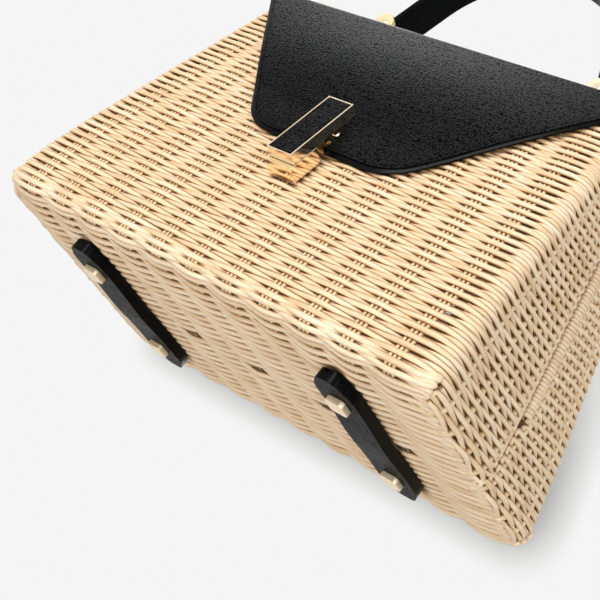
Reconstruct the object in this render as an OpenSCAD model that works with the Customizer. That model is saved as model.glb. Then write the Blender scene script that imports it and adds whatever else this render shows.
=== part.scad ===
/* [Basket] */
// Width of the basket across its base
base_w = 306; // [270:1:340]
// Depth of the basket across its base
base_d = 175; // [165:1:200]
// Height of the woven walls
wall_h = 191; // [175:1:210]
// Lean of the front and back walls from upright
wall_lean = 15.5; // [12:0.5:16.5]
// Taper of the side walls from upright
side_taper = 8.1; // [5:0.1:10]
// Thickness of the woven walls
wall_t = 5.5; // [4.5:0.1:7]
// Depth of the weave's relief
relief = 2; // [0.8:0.1:2.4]
// Rounding of the upright corners
corner_r = 12; // [10:0.5:16]
// Rounding along the bottom edge
bottom_r = 14; // [10:0.5:18]
// Mean pitch of the rows on the front and the back
row_pitch = 2.25; // [2:0.05:4]
// Share by which the rows open low down and close near the top
row_spread = 0.1; // [0:0.01:0.2]
// Pitch of the rows on the sides
side_pitch = 3.3; // [2.8:0.1:5]
// Uprights across the front and the back
front_stakes = 11; // [7:2:13]
// Uprights across each half side wall
side_stakes = 4; // [2:1:5]
// Thickness of the base mat
base_t = 5.5; // [4.5:0.1:7]
// Pitch of the base mat's rows
base_pitch = 4; // [3.2:0.1:6]
// Height of the top border
rim_h = 4.5; // [3:0.1:7]

/* [Gaps and slits] */
// Rows of see-through gaps low on the front
gap_rows = 8; // [2:1:10]
// Height of a gap
gap_h = 1.2; // [0.8:0.1:1.6]
// Length of a gap
gap_l = 7; // [4:0.1:10]
// Height where each side slit starts
slit_h = 35; // [20:1:80]
// Place of the slit's foot behind the middle
slit_foot_y = 6; // [-5:0.5:10]
// Place of the slit's top behind the middle
slit_top_y = -4; // [-8:0.5:5]
// Width of the slit at its top
slit_top_w = 4; // [2:0.1:6]
// Diameter of the border rod along the slit
border_d = 7; // [4:0.1:8]

/* [Flap] */
// Thickness of the flap's leather
leather_t = 2.8; // [2:0.1:4]
// Overhang of the flap past each end of the top border
flap_over = 2.5; // [0:0.1:5]
// Straight width of the flap at its lower edge
tip_w = 95; // [60:1:120]
// Distance of the lower edge up the front wall
tip_s = 101; // [95:1:130]
// Rounding of the flap's lower corners
tip_r = 22; // [8:1:30]
// Inner radius of the fold over the front edge
fold_r = 1.2; // [0.8:0.1:1.4]
// Length of the leather on the back wall
anchor_l = 38; // [30:1:60]
// Rivets through the back leather
rivet_count = 5; // [3:1:7]
// Diameter of a rivet's head
rivet_d = 8; // [6:0.5:12]
// Distance of the outer rivets from the leather's ends
rivet_edge = 25; // [18:1:40]

/* [Handle] */
// Distance between the handle's pins
pin_span = 148; // [130:1:170]
// Height of the pins over the flap
pin_rise = 21; // [18:0.5:30]
// Place of the handle behind the middle, as a share of the mouth's half depth
handle_share = 0.4; // [0:0.01:0.45]
// Width of the handle's band
band_w = 22; // [16:0.5:26]
// Thickness of the handle's band
band_t = 5; // [4:0.1:7]
// Radius of the arch at the middle of the band
arch_r = 65; // [50:0.5:68]
// Inward lean of the handle's legs
leg_lean = 21; // [16:0.5:26]
// Diameter of the handle's pins
pin_d = 4.8; // [4:0.1:5.2]
// Thickness of the brackets' ears
ear_t = 3.5; // [2.5:0.1:5]
// Width of the brackets' ears across their facets
ear_w = 12; // [10:0.5:14]

/* [Clasp] */
// Width of the bar at its foot and of the catch block
bar_w = 18; // [16:0.5:20]
// Width of the bar's top face
bar_top = 16.6; // [14:0.1:18]
// Length of the bar
bar_l = 46.5; // [40:0.5:50]
// Thickness of the bar
bar_t = 6.2; // [5:0.1:8]
// Distance of the bar's lower end up the front wall
bar_s = 78; // [76:0.5:84]
// Height of the catch block off the basket
block_h = 9.2; // [9:0.1:14]
// Length of the catch block
block_l = 19; // [14:0.5:19]
// Width of the gold frame round the inlay
frame_w = 1; // [0.6:0.1:2]
// Depth of the inlay's pocket
inlay_t = 1.2; // [0.8:0.1:2]
// Diameter of the bar's pin
bar_pin_d = 2; // [1.6:0.1:2.2]

/* [Feet] */
// Length of a base strap, as a share of the base's depth
strap_share = 0.674; // [0.58:0.002:0.74]
// Width of a base strap
strap_w = 24; // [18:0.5:30]
// Thickness of a base strap
strap_t = 6; // [4:0.1:8]
// Distance between the two straps, as a share of the base's width
strap_place = 0.578; // [0.46:0.002:0.68]
// Distance between the two feet, as a share of a strap's length
foot_place = 0.644; // [0.5:0.002:0.7]
// Side of a foot
foot_w = 10.8; // [9:0.1:16]
// Height of a foot
foot_h = 3.2; // [2.6:0.1:6]
// Chamfer of a foot's corners
foot_chamfer = 1.3; // [0.6:0.1:2.5]
// Diameter of the screws
screw_d = 3; // [2.4:0.1:3.6]

/* [Fits] */
// Clearance between pieces that seat on each other
seat_gap = 0.3; // [0.2:0.05:0.4]
// Clearance of pins and screws in their holes
bore_gap = 0.08; // [0.05:0.01:0.1]
// Thickness of the hidden backing plates and washers
backing_t = 1.2; // [0.8:0.1:2]

/* [Hidden] */
$fn = 48;

straw = [0.88, 0.76, 0.56];
black = [0.07, 0.07, 0.07];
gold = [0.83, 0.66, 0.38];
steel = [0.6, 0.6, 0.62];

// Levels and slopes
base_z = foot_h + strap_t;
rim_z = base_z + wall_h + rim_h;
flap_z = rim_z + seat_gap;
slope_x = tan(side_taper);
slope_y = tan(wall_lean);

// Half sizes of the basket at a height above its base
function inset(h) = h >= bottom_r ? 0 : bottom_r - sqrt(bottom_r * bottom_r - pow(bottom_r - h, 2));
function half_w(h) = base_w / 2 - h * slope_x - inset(h);
function half_d(h) = base_d / 2 - h * slope_y - inset(h);

// Rows of the weave, from the rounded bottom edge to the top
round_rows = [for (a = [0, 35, 60]) bottom_r * (1 - cos(a))];
row_n = floor((wall_h - bottom_r) / row_pitch);
function row_rise(t) = t * (1 + row_spread) - row_spread * t * t;
wall_rows = concat(round_rows, [for (j = [0:row_n]) bottom_r + (wall_h - bottom_r) * row_rise(j / row_n)]);
side_row_n = floor((wall_h - bottom_r) / side_pitch);
side_step = (wall_h - bottom_r) / side_row_n;
side_rows = concat(round_rows, [for (j = [0:side_row_n]) bottom_r + j * side_step]);
first_gap_row = len(round_rows) + 2;
inner_bottom_d = half_d(base_t) - half_d(0);

// A column of the front wall is [side of the corner, share of the flat, angle round the corner]
corner_angles = [0, -45];
stake_share = 1.87 / (front_stakes - 1);
front_columns = concat(
    [for (a = corner_angles) [-1, -1, a]],
    [for (k = [0:front_stakes - 1]) [0, (k - (front_stakes - 1) / 2) * stake_share, -90]],
    [for (k = [len(corner_angles) - 1:-1:0]) [1, 1, corner_angles[k]]]);
front_at = function (c, h, d) [
    c[1] * (half_w(h) - corner_r) + c[0] * (corner_r - d) * cos(c[2]),
    -(half_d(h) - corner_r) + (corner_r - d) * sin(c[2]),
    base_z + h];

// The side slit, and the half side walls in front of it and behind it
function slit_share(h) = max(0, (h - slit_h) / (wall_h - slit_h));
function slit_y(h) = slit_foot_y + (slit_top_y - slit_foot_y) * slit_share(h);
function slit_back(h) = slit_y(h) + slit_top_w * slit_share(h);
border_start = slit_h + border_d + side_pitch;
border_seat = slit_h + border_d * 0.8;
function behind_border(h) =
    slit_back(h) + (border_d + seat_gap) * min(1, max(0, (h - slit_h) / (border_seat - slit_h)));
gusset_columns = concat([0], [for (k = [0:side_stakes - 1]) (k + 0.35) / (side_stakes - 0.2)], [1]);
front_gusset_at = function (u, h, d) [
    half_w(h) - d, (1 - u) * (corner_r - half_d(h)) + u * slit_y(h), base_z + h];
rear_gusset_at = function (u, h, d) [
    half_w(h) - d, (1 - u) * behind_border(h) + u * (half_d(h) - corner_r), base_z + h];

// Relief of the weave: each row passes over one upright and under the next, by turns
function weave_depth(c, j) = (c + j) % 2 == 0 ? relief : 0;
function relief_at(c, j, last_c, last_j) =
    j == 0 || j == last_j ? 0 : c == 0 || c == last_c ? relief / 2 : weave_depth(c, j);

function mix(p, q, t) = p + (q - p) * t;
function in_cell(a, b, c, d, u, v) = mix(mix(a, b, u), mix(d, c, u), v);

// Triangles between two edges whose points lie at the given heights
function zip(a, b, ha, hb, i, j) =
    i == len(a) - 1 && j == len(b) - 1 ? [] :
    j == len(b) - 1 || (i < len(a) - 1 && ha[i + 1] <= hb[j + 1]) ?
        concat([[a[i], b[j], a[i + 1]]], zip(a, b, ha, hb, i + 1, j)) :
        concat([[a[i], b[j], b[j + 1]]], zip(a, b, ha, hb, i, j + 1));

// A woven wall: relief outside, plain inside, and see-through gaps in the listed cells
module woven(at, columns, rows, gaps = [], bends = []) {
    nc = len(columns);
    nr = len(rows);
    zone = len(gaps) == 0 ? [] : [for (j = [first_gap_row:first_gap_row + gap_rows]) j];
    inner = concat([[base_t, inner_bottom_d], [bottom_r, wall_t]],
                   [for (j = zone) [rows[j], wall_t]], [for (h = bends) [h, wall_t]], [[wall_h, wall_t]]);
    ni = len(inner);
    outer_points = [for (j = [0:nr - 1]) for (c = [0:nc - 1])
        at(columns[c], rows[j], relief_at(c, j, nc - 1, nr - 1))];
    inner_points = [for (r = inner) for (c = columns) at(c, r[0], r[1])];
    o = function (c, j) j * nc + c;
    i = function (c, r) nr * nc + r * nc + c;
    start = nr * nc + ni * nc;
    zone_row = function (j) j - first_gap_row + 2;
    all_points = concat(outer_points, inner_points);
    outer_cell = function (g)
        [o(g[0], g[1]), o(g[0] + 1, g[1]), o(g[0] + 1, g[1] + 1), o(g[0], g[1] + 1)];
    inner_cell = function (g) let (r = zone_row(g[1]))
        [i(g[0], r), i(g[0] + 1, r), i(g[0] + 1, r + 1), i(g[0], r + 1)];
    corners = function (g) [[g[2], g[4]], [g[3], g[4]], [g[3], g[5]], [g[2], g[5]]];
    in_quad = function (k, q)
        in_cell(all_points[k[0]], all_points[k[1]], all_points[k[2]], all_points[k[3]], q[0], q[1]);
    gap_points = [for (g = gaps) for (cell = [outer_cell(g), inner_cell(g)]) for (q = corners(g))
        in_quad(cell, q)];
    is_gap = function (c, j) len([for (g = gaps) if (g[0] == c && g[1] == j) 1]) > 0;
    ring = function (big, small) [for (k = [0:3]) let (n = (k + 1) % 4)
        each [[big[k], small[k], big[n]], [big[n], small[k], small[n]]]];
    back = function (list) [for (f = list) [f[2], f[1], f[0]]];
    hole = function (k, s) [for (q = [0:3]) start + 8 * k + 4 * s + q];
    plain_outer = [for (j = [0:nr - 2]) for (c = [0:nc - 2]) if (!is_gap(c, j))
        each [[o(c, j), o(c, j + 1), o(c + 1, j)], [o(c + 1, j), o(c, j + 1), o(c + 1, j + 1)]]];
    plain_inner = [for (r = [0:ni - 2]) for (c = [0:nc - 2])
        if (len(zone) == 0 || r < 2 || r > ni - 3 || !is_gap(c, r - 2 + first_gap_row))
        each [[i(c, r), i(c + 1, r), i(c, r + 1)], [i(c + 1, r), i(c + 1, r + 1), i(c, r + 1)]]];
    gap_faces = [for (k = [0:1:len(gaps) - 1]) each concat(
        ring(outer_cell(gaps[k]), hole(k, 0)), back(ring(inner_cell(gaps[k]), hole(k, 1))),
        ring(hole(k, 0), hole(k, 1)))];
    ends = [for (c = [0:nc - 2]) each [
        [o(c, 0), o(c + 1, 0), i(c, 0)], [o(c + 1, 0), i(c + 1, 0), i(c, 0)],
        [o(c, nr - 1), i(c, ni - 1), o(c + 1, nr - 1)],
        [o(c + 1, nr - 1), i(c, ni - 1), i(c + 1, ni - 1)]]];
    inner_h = [for (r = inner) r[0]];
    side = function (c)
        zip([for (j = [0:nr - 1]) o(c, j)], [for (r = [0:ni - 1]) i(c, r)], rows, inner_h, 0, 0);
    first_side = side(0);
    last_side = back(side(nc - 1));
    polyhedron(concat(all_points, gap_points),
        concat(plain_outer, plain_inner, gap_faces, ends, first_side, last_side), convexity = 10);
}

// See-through gaps beside the uprights, low on the front
gap_first = len(corner_angles) - 1;
gap_last = len(front_columns) - 1 - len(corner_angles);
gap_u = gap_l / (base_w / front_stakes);
gap_v = gap_h / (row_pitch * (1 + row_spread));
front_gaps = [for (k = [0:gap_rows - 1]) for (c = [gap_first:gap_last])
    let (u = k % 2 == c % 2 ? 0.06 : 0.94 - gap_u)
    [c, first_gap_row + k, u, u + gap_u, 0.5 - gap_v / 2, 0.5 + gap_v / 2]];

// Frame of the leaning front wall: x across, y up the slope, z outward from the weave's crests
module on_front() {
    translate([0, -base_d / 2, base_z]) rotate([90 - wall_lean, 0, 0]) children();
}
module on_rear() {
    mirror([0, 1, 0]) on_front() children();
}
inner_n = -wall_t * cos(wall_lean);
function slope_s(z, n) = (z - base_z - n * sin(wall_lean)) / cos(wall_lean);
function slope_d(s, n) = base_d / 2 - s * sin(wall_lean) + n * cos(wall_lean);

// A drilled hole or a shank on the slope
hole_r = screw_d / 2 + bore_gap;
module drill(s, n0, n1, r) {
    translate([0, s, n0]) cylinder(h = n1 - n0, r = r);
}

// Catch block and its screws
block_s = bar_s - 2.4;
catch_screw_s = [block_s + block_l / 4, block_s + block_l * 3 / 4];
catch_plate_t = backing_t;
screw_head_r = screw_d * 0.95;
screw_head_h = screw_d * 0.6;
catch_depth = block_h * 0.6;

// Flap and its hinge
flap_w = 2 * (half_w(wall_h + rim_h) + flap_over);
flap_n = seat_gap + leather_t;
deck_z = flap_z + leather_t;
fold_z = flap_z - fold_r;
fold_n = seat_gap - fold_r;
fold_s = slope_s(fold_z, fold_n);
fold_y = -slope_d(fold_s, fold_n);
hinge_z = flap_z + leather_t / 2;
hinge_n = seat_gap + leather_t / 2;
hinge_s = slope_s(hinge_z, hinge_n);
hinge_y = slope_d(hinge_s, hinge_n);
anchor_top = hinge_s - leather_t / 2 - seat_gap;
anchor_r = anchor_l * 0.315;
rivet_s = anchor_top - anchor_l * 0.6;
rivet_pitch = (flap_w - 2 * rivet_edge) / (rivet_count - 1);
rivet_x = [for (k = [0:rivet_count - 1]) (k - (rivet_count - 1) / 2) * rivet_pitch];
rivet_head_h = rivet_d * 0.2;
washer_t = backing_t * 0.8;

// Handle
mouth_d = half_d(wall_h + rim_h) - wall_t;
handle_y = mouth_d * handle_share;
pin_z = deck_z + pin_rise;
loop_r = pin_d / 2 + band_t * 0.65;
leg_l = (pin_span / 2 - arch_r * cos(leg_lean)) / sin(leg_lean);
arch_z = pin_z + leg_l * cos(leg_lean) - arch_r * sin(leg_lean);
bracket_w = band_w + 2 * (seat_gap + ear_t);
bracket_l = ear_w * 2.17;
bracket_t = ear_t * 0.86;
plate_t = backing_t * 1.25;
plate_w = 1.16 * (mouth_d - handle_y);
plate_l = pin_span + bracket_l * 1.2;
bracket_screw_x = ear_w * 0.75;
bracket_screws_at = [for (s = [-1, 1]) for (k = [-1, 1]) s * pin_span / 2 + k * bracket_screw_x];
bracket_screw_depth = bracket_t * 0.73;

// Clasp
bar_n = block_h + seat_gap;
pocket_w = bar_top - 2 * frame_w;
pocket_l = bar_l - 2 * frame_w;
bar_pin_s = tip_s + bar_pin_d * 1.6;
knuckle_r = bar_pin_d / 2 + 1.2;
bar_pin_n = bar_n - knuckle_r - seat_gap;
knuckle_w = bar_w * 0.44;
lug_t = bar_pin_d;
lug_x = knuckle_w / 2 + seat_gap;
post_t = backing_t;
post_w = bar_w * 0.78;
post_l = bar_w * 0.61;
lip_s = tip_s - seat_gap - post_t;
post_rivet_d = bar_pin_d;
post_rivet_x = post_w / 2 - post_rivet_d * 1.1;
post_rivet_s = bar_pin_s + post_l - post_rivet_d * 1.5;
pin_bore_r = bar_pin_d / 2 + bore_gap;

// Feet
strap_l = base_d * strap_share;
foot_x = base_w * strap_place / 2;
foot_y = strap_l * foot_place / 2;
foot_floor = foot_h * 0.375;
nut_h = screw_d;
nut_r = screw_d * 1.2;
mat_w = half_w(0) - seat_gap;
mat_d = half_d(0) - seat_gap;
mat_r = corner_r * 1.25;
mat_rows = floor(2 * mat_d / base_pitch);
function mat_x(y) = abs(y) <= mat_d - mat_r ? mat_w :
    mat_w - mat_r + sqrt(max(0, mat_r * mat_r - pow(abs(y) - mat_d + mat_r, 2)));

module front_weave() {
    color(straw) woven(front_at, front_columns, wall_rows, front_gaps);
}

module rear_weave() {
    color(straw) mirror([0, 1, 0]) woven(front_at, front_columns, wall_rows);
}

module right_front_gusset() {
    color(straw) woven(front_gusset_at, gusset_columns, side_rows, bends = [slit_h]);
}

module right_rear_gusset() {
    color(straw) woven(rear_gusset_at, gusset_columns, side_rows, bends = [slit_h, border_seat]);
}

module left_front_gusset() {
    color(straw) mirror([1, 0, 0]) woven(front_gusset_at, gusset_columns, side_rows, bends = [slit_h]);
}

module left_rear_gusset() {
    color(straw) mirror([1, 0, 0])
        woven(rear_gusset_at, gusset_columns, side_rows, bends = [slit_h, border_seat]);
}

// The base mat: rows run across the width, relief below, plain above
module mat() {
    nc = front_stakes + 2;
    nr = mat_rows + 1;
    row_y = [for (r = [0:mat_rows]) mat_d * (2 * r / mat_rows - 1)];
    under = [for (r = [0:mat_rows]) for (c = [0:nc - 1])
        [mat_x(row_y[r]) * (2 * c / (nc - 1) - 1), row_y[r],
         base_z + (c == 0 || c == nc - 1 || r == 0 || r == mat_rows ? 0 : weave_depth(c, r))]];
    over = [for (r = [0:mat_rows]) for (side = [-1, 1])
        [side * mat_x(row_y[r]), row_y[r], base_z + base_t]];
    u = function (c, r) r * nc + c;
    o = function (side, r) nr * nc + 2 * r + side;
    polyhedron(concat(under, over), concat(
        [for (r = [0:mat_rows - 1]) for (c = [0:nc - 2])
            each [[u(c, r), u(c, r + 1), u(c + 1, r)], [u(c + 1, r), u(c, r + 1), u(c + 1, r + 1)]]],
        [for (r = [0:mat_rows - 1])
            each [[o(0, r), o(1, r), o(0, r + 1)], [o(1, r), o(1, r + 1), o(0, r + 1)]]],
        [for (r = [0:mat_rows - 1])
            each [[u(0, r), o(0, r), u(0, r + 1)], [u(0, r + 1), o(0, r), o(0, r + 1)]]],
        [for (r = [0:mat_rows - 1])
            each [[u(nc - 1, r), u(nc - 1, r + 1), o(1, r)], [u(nc - 1, r + 1), o(1, r + 1), o(1, r)]]],
        [for (c = [0:nc - 2]) [u(c, 0), u(c + 1, 0), o(0, 0)]], [[u(nc - 1, 0), o(1, 0), o(0, 0)]],
        [for (c = [0:nc - 2]) [u(c, mat_rows), o(0, mat_rows), u(c + 1, mat_rows)]],
        [[u(nc - 1, mat_rows), o(0, mat_rows), o(1, mat_rows)]]), convexity = 10);
}

module at_feet() {
    for (x = [-foot_x, foot_x]) for (y = [-foot_y, foot_y]) translate([x, y, 0]) children();
}

module base_weave() {
    color(straw) mat();
}

// The top border
module rounded(w, d, r) {
    square([2 * (w - r), 2 * d], center = true);
    square([2 * w, 2 * (d - r)], center = true);
    for (x = [-1, 1]) for (y = [-1, 1]) translate([x * (w - r), y * (d - r)]) circle(r);
}

module rim(y0, y1) {
    w = half_w(wall_h + rim_h);
    d = half_d(wall_h + rim_h);
    translate([0, 0, base_z + wall_h]) linear_extrude(rim_h) difference() {
        rounded(w, d, corner_r);
        rounded(w - wall_t, d - wall_t, corner_r - wall_t);
        translate([-base_w, y0 - base_d]) square([2 * base_w, base_d]);
        translate([-base_w, y1]) square([2 * base_w, base_d]);
    }
}

module front_rim() {
    color(straw) rim(-base_d, slit_top_y);
}

module rear_rim() {
    color(straw) rim(slit_top_y + slit_top_w, base_d);
}

// Border rod along the back edge of a side slit
module slit_border() {
    foot = [half_w(border_start) - wall_t / 2, slit_back(border_start) + border_d / 2,
            base_z + border_start];
    top = [half_w(wall_h) - wall_t / 2, slit_back(wall_h) + border_d / 2, base_z + wall_h];
    v = top - foot;
    translate(foot) rotate([0, 0, atan2(v[1], v[0])]) rotate([0, acos(v[2] / norm(v)), 0])
        cylinder(h = norm(v) - border_d * 0.15, d = border_d);
}

module right_slit_border() {
    color(straw) slit_border();
}

module left_slit_border() {
    color(straw) mirror([1, 0, 0]) slit_border();
}

// Outline of the flap on the front slope, straight over the top
function arc(x, y, r, a0, a1, n) =
    [for (k = [0:n]) let (a = a0 + (a1 - a0) * k / n) [x + r * cos(a), y + r * sin(a)]];
flap_angle = atan((flap_w - tip_w) / 2 / (fold_s - tip_s));
tip_x = tip_w / 2 + tip_r * tan(flap_angle) - tip_r / cos(flap_angle);
flap_half = concat(arc(tip_x, tip_s + tip_r, tip_r, -90, -flap_angle, 8),
    [[flap_w / 2, fold_s], [flap_w / 2, fold_s + base_d]]);
flap_outline = concat(flap_half, [for (k = [len(flap_half) - 1:-1:0]) [-flap_half[k][0], flap_half[k][1]]]);

// Section of the flap: front leaf, fold, top leaf and the rounded edge on its hinge line
module flap_section() {
    difference() {
        union() {
            translate([fold_y, fold_z]) circle(fold_r + leather_t);
            translate([fold_y, flap_z]) square([hinge_y - fold_y, leather_t]);
            translate([hinge_y, hinge_z]) circle(leather_t / 2);
            polygon([for (q = [[0, seat_gap], [fold_s, seat_gap], [fold_s, flap_n], [0, flap_n]])
                [-slope_d(q[0], q[1]), base_z + q[0] * cos(wall_lean) + q[1] * sin(wall_lean)]]);
        }
        translate([fold_y, fold_z]) circle(fold_r);
        polygon([for (q = [[0, seat_gap], [fold_s, seat_gap], [fold_s, fold_n - 8], [0, fold_n - 8]])
            [-slope_d(q[0], q[1]), base_z + q[0] * cos(wall_lean) + q[1] * sin(wall_lean)]]);
        translate([fold_y, flap_z - 8]) square([2 * leather_t, 8]);
    }
}

module flap() {
    color(black) difference() {
        intersection() {
            translate([-flap_w / 2, 0, 0]) rotate([90, 0, 90]) linear_extrude(flap_w) flap_section();
            on_front() translate([0, 0, -base_d]) linear_extrude(2 * base_d) polygon(flap_outline);
        }
        for (x = bracket_screws_at) translate([x, handle_y, flap_z - 1])
            cylinder(h = leather_t + 2, r = hole_r);
        on_front() for (x = [-post_rivet_x, post_rivet_x]) translate([x, 0, 0])
            drill(post_rivet_s, seat_gap - 1, flap_n + 1, post_rivet_d / 2 + bore_gap);
    }
}

module flap_anchor() {
    low = anchor_top - anchor_l;
    outline = concat(arc(flap_w / 2 - anchor_r, low + anchor_r, anchor_r, -90, 0, 8),
        [[flap_w / 2, anchor_top], [-flap_w / 2, anchor_top]],
        arc(anchor_r - flap_w / 2, low + anchor_r, anchor_r, 180, 270, 8));
    color(black) on_rear() difference() {
        translate([0, 0, seat_gap]) linear_extrude(leather_t) polygon(outline);
        for (x = rivet_x) translate([x, 0, 0]) drill(rivet_s, seat_gap - 1, flap_n + 1, hole_r);
    }
}

module anchor_rivets() {
    tail = inner_n - washer_t;
    r = screw_d / 2;
    color(gold) on_rear() for (x = rivet_x) translate([x, rivet_s, 0]) rotate_extrude() polygon([
        [0, tail - 0.8], [r + 1, tail - 0.8], [r + 1, tail], [r, tail], [r, flap_n], [rivet_d / 2, flap_n],
        [rivet_d * 0.38, flap_n + rivet_head_h * 0.7], [rivet_d * 0.2, flap_n + rivet_head_h],
        [0, flap_n + rivet_head_h]]);
}

module rivet_washers() {
    color(steel) on_rear() for (x = rivet_x) translate([x, rivet_s, inner_n - washer_t]) difference() {
        cylinder(h = washer_t, d = rivet_d);
        translate([0, 0, -1]) cylinder(h = washer_t + 2, r = hole_r);
    }
}

// The handle: an arch with a loop round a pin at each end
module handle_section() {
    far = 2 * arch_r;
    difference() {
        union() {
            difference() {
                translate([0, arch_z]) circle(arch_r + band_t / 2, $fn = 160);
                translate([0, arch_z]) circle(arch_r - band_t / 2, $fn = 160);
                translate([0, arch_z]) polygon([[0, 0], [far * cos(leg_lean), far * sin(leg_lean)],
                    [far, -far], [-far, -far], [-far * cos(leg_lean), far * sin(leg_lean)]]);
            }
            for (s = [-1, 1]) translate([s * pin_span / 2, pin_z]) rotate(s * leg_lean) {
                translate([-band_t / 2, 0]) square([band_t, leg_l]);
                circle(loop_r);
            }
        }
        for (s = [-1, 1]) translate([s * pin_span / 2, pin_z]) circle(pin_d / 2 + bore_gap);
    }
}

module handle() {
    color(black) translate([0, handle_y + band_w / 2, 0]) rotate([90, 0, 0])
        linear_extrude(band_w) handle_section();
}

// A bracket: a plate on the flap, and two ears that stand on it and hold the pin
module handle_bracket(side) {
    translate([side * pin_span / 2, handle_y, deck_z]) difference() {
        translate([-bracket_l / 2, -bracket_w / 2, 0]) cube([bracket_l, bracket_w, bracket_t]);
        for (x = [-bracket_screw_x, bracket_screw_x]) translate([x, 0, -1])
            cylinder(h = 1 + bracket_screw_depth + bore_gap, r = hole_r);
    }
}

module bracket_ears(side) {
    a = ear_w / 2;
    b = a * tan(22.5);
    foot = deck_z + bracket_t;
    for (y = [-bracket_w / 2, bracket_w / 2 - ear_t])
        translate([side * pin_span / 2, handle_y + y + ear_t, 0]) rotate([90, 0, 0])
        linear_extrude(ear_t) difference() {
            polygon([[-a, foot], [a, foot], [a, pin_z + b], [b, pin_z + a], [-b, pin_z + a],
                [-a, pin_z + b]]);
            translate([0, pin_z]) circle(pin_d / 2 + bore_gap);
        }
}

module left_handle_bracket() {
    color(gold) handle_bracket(-1);
}

module right_handle_bracket() {
    color(gold) handle_bracket(1);
}

module left_bracket_ears() {
    color(gold) bracket_ears(-1);
}

module right_bracket_ears() {
    color(gold) bracket_ears(1);
}

module handle_pin(side) {
    l = bracket_w + pin_d * 0.25;
    translate([side * pin_span / 2, handle_y + l / 2, pin_z]) rotate([90, 0, 0])
        cylinder(h = l, d = pin_d);
}

module left_handle_pin() {
    color(gold) handle_pin(-1);
}

module right_handle_pin() {
    color(gold) handle_pin(1);
}

module handle_plate() {
    color(steel) difference() {
        translate([-plate_l / 2, handle_y - plate_w / 2, flap_z - plate_t])
            cube([plate_l, plate_w, plate_t]);
        for (x = bracket_screws_at) translate([x, handle_y, flap_z - plate_t - 1])
            cylinder(h = plate_t + 2, r = hole_r);
    }
}

module bracket_screws() {
    color(steel) for (x = bracket_screws_at) translate([x, handle_y, 0]) {
        translate([0, 0, flap_z - plate_t - screw_head_h]) cylinder(h = screw_head_h, r = screw_head_r);
        translate([0, 0, flap_z - plate_t])
            cylinder(h = plate_t + leather_t + bracket_screw_depth, d = screw_d);
    }
}

module clasp_bar() {
    color(gold) on_front() difference() {
        translate([0, bar_s, bar_n]) rotate([-90, 0, 0]) linear_extrude(bar_l)
            polygon([[-bar_w / 2, 0], [bar_w / 2, 0], [bar_top / 2, -bar_t], [-bar_top / 2, -bar_t]]);
        translate([-pocket_w / 2, bar_s + frame_w, bar_n + bar_t - inlay_t])
            cube([pocket_w, pocket_l, inlay_t + 1]);
    }
}

// Two lugs under the bar, on either side of the post's knuckle
module clasp_lugs() {
    color(gold) on_front() for (x = [-lug_x - lug_t, lug_x]) translate([x, bar_pin_s, bar_pin_n])
        difference() {
            union() {
                rotate([0, 90, 0]) cylinder(h = lug_t, r = knuckle_r);
                translate([0, -knuckle_r, 0]) cube([lug_t, 2 * knuckle_r, bar_n - bar_pin_n]);
            }
            translate([-1, 0, 0]) rotate([0, 90, 0]) cylinder(h = lug_t + 2, r = pin_bore_r);
        }
}

module clasp_inlay() {
    color(black) on_front()
        translate([bore_gap - pocket_w / 2, bar_s + frame_w + bore_gap, bar_n + bar_t - inlay_t])
        cube([pocket_w - 2 * bore_gap, pocket_l - 2 * bore_gap, inlay_t]);
}

module clasp_post() {
    color(gold) on_front() difference() {
        union() {
            translate([-post_w / 2, lip_s, flap_n])
                cube([post_w, bar_pin_s + post_l - lip_s, post_t]);
            translate([-post_w / 2, lip_s, seat_gap]) cube([post_w, post_t, bar_pin_n - seat_gap]);
            translate([-knuckle_w / 2, bar_pin_s - knuckle_r * 0.8, flap_n])
                cube([knuckle_w, knuckle_r * 1.6, bar_pin_n - flap_n]);
            translate([-knuckle_w / 2, bar_pin_s, bar_pin_n]) rotate([0, 90, 0])
                cylinder(h = knuckle_w, r = knuckle_r);
        }
        translate([-bar_w, bar_pin_s, bar_pin_n]) rotate([0, 90, 0])
            cylinder(h = 2 * bar_w, r = pin_bore_r);
        for (x = [-post_rivet_x, post_rivet_x]) translate([x, 0, 0])
            drill(post_rivet_s, flap_n - 1, flap_n + post_t + 1, post_rivet_d / 2 + bore_gap);
    }
}

module clasp_pin() {
    l = 2 * (lug_x + lug_t);
    color(gold) on_front() translate([-l / 2, bar_pin_s, bar_pin_n]) rotate([0, 90, 0])
        cylinder(h = l, d = bar_pin_d);
}

module post_rivets() {
    r = post_rivet_d / 2;
    top = flap_n + post_t;
    color(gold) on_front() for (x = [-post_rivet_x, post_rivet_x]) translate([x, post_rivet_s, 0])
        rotate_extrude() polygon([[0, seat_gap], [r, seat_gap], [r, top], [r * 1.8, top],
            [r * 1.4, top + r * 0.6], [0, top + r * 0.6]]);
}

module catch_block() {
    color(gold) on_front() difference() {
        translate([-bar_w / 2, block_s, 0]) cube([bar_w, block_l, block_h]);
        for (s = catch_screw_s) drill(s, -1, catch_depth + bore_gap, hole_r);
    }
}

module catch_plate() {
    color(steel) on_front() difference() {
        translate([-bar_w / 2 - 3, block_s - 3, inner_n - catch_plate_t])
            cube([bar_w + 6, block_l + 6, catch_plate_t]);
        for (s = catch_screw_s) drill(s, inner_n - catch_plate_t - 1, inner_n + 1, hole_r);
    }
}

module catch_screws() {
    back = inner_n - catch_plate_t;
    color(steel) on_front() for (s = catch_screw_s) {
        drill(s, back - screw_head_h, back, screw_head_r);
        drill(s, back, catch_depth, screw_d / 2);
    }
}

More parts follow.
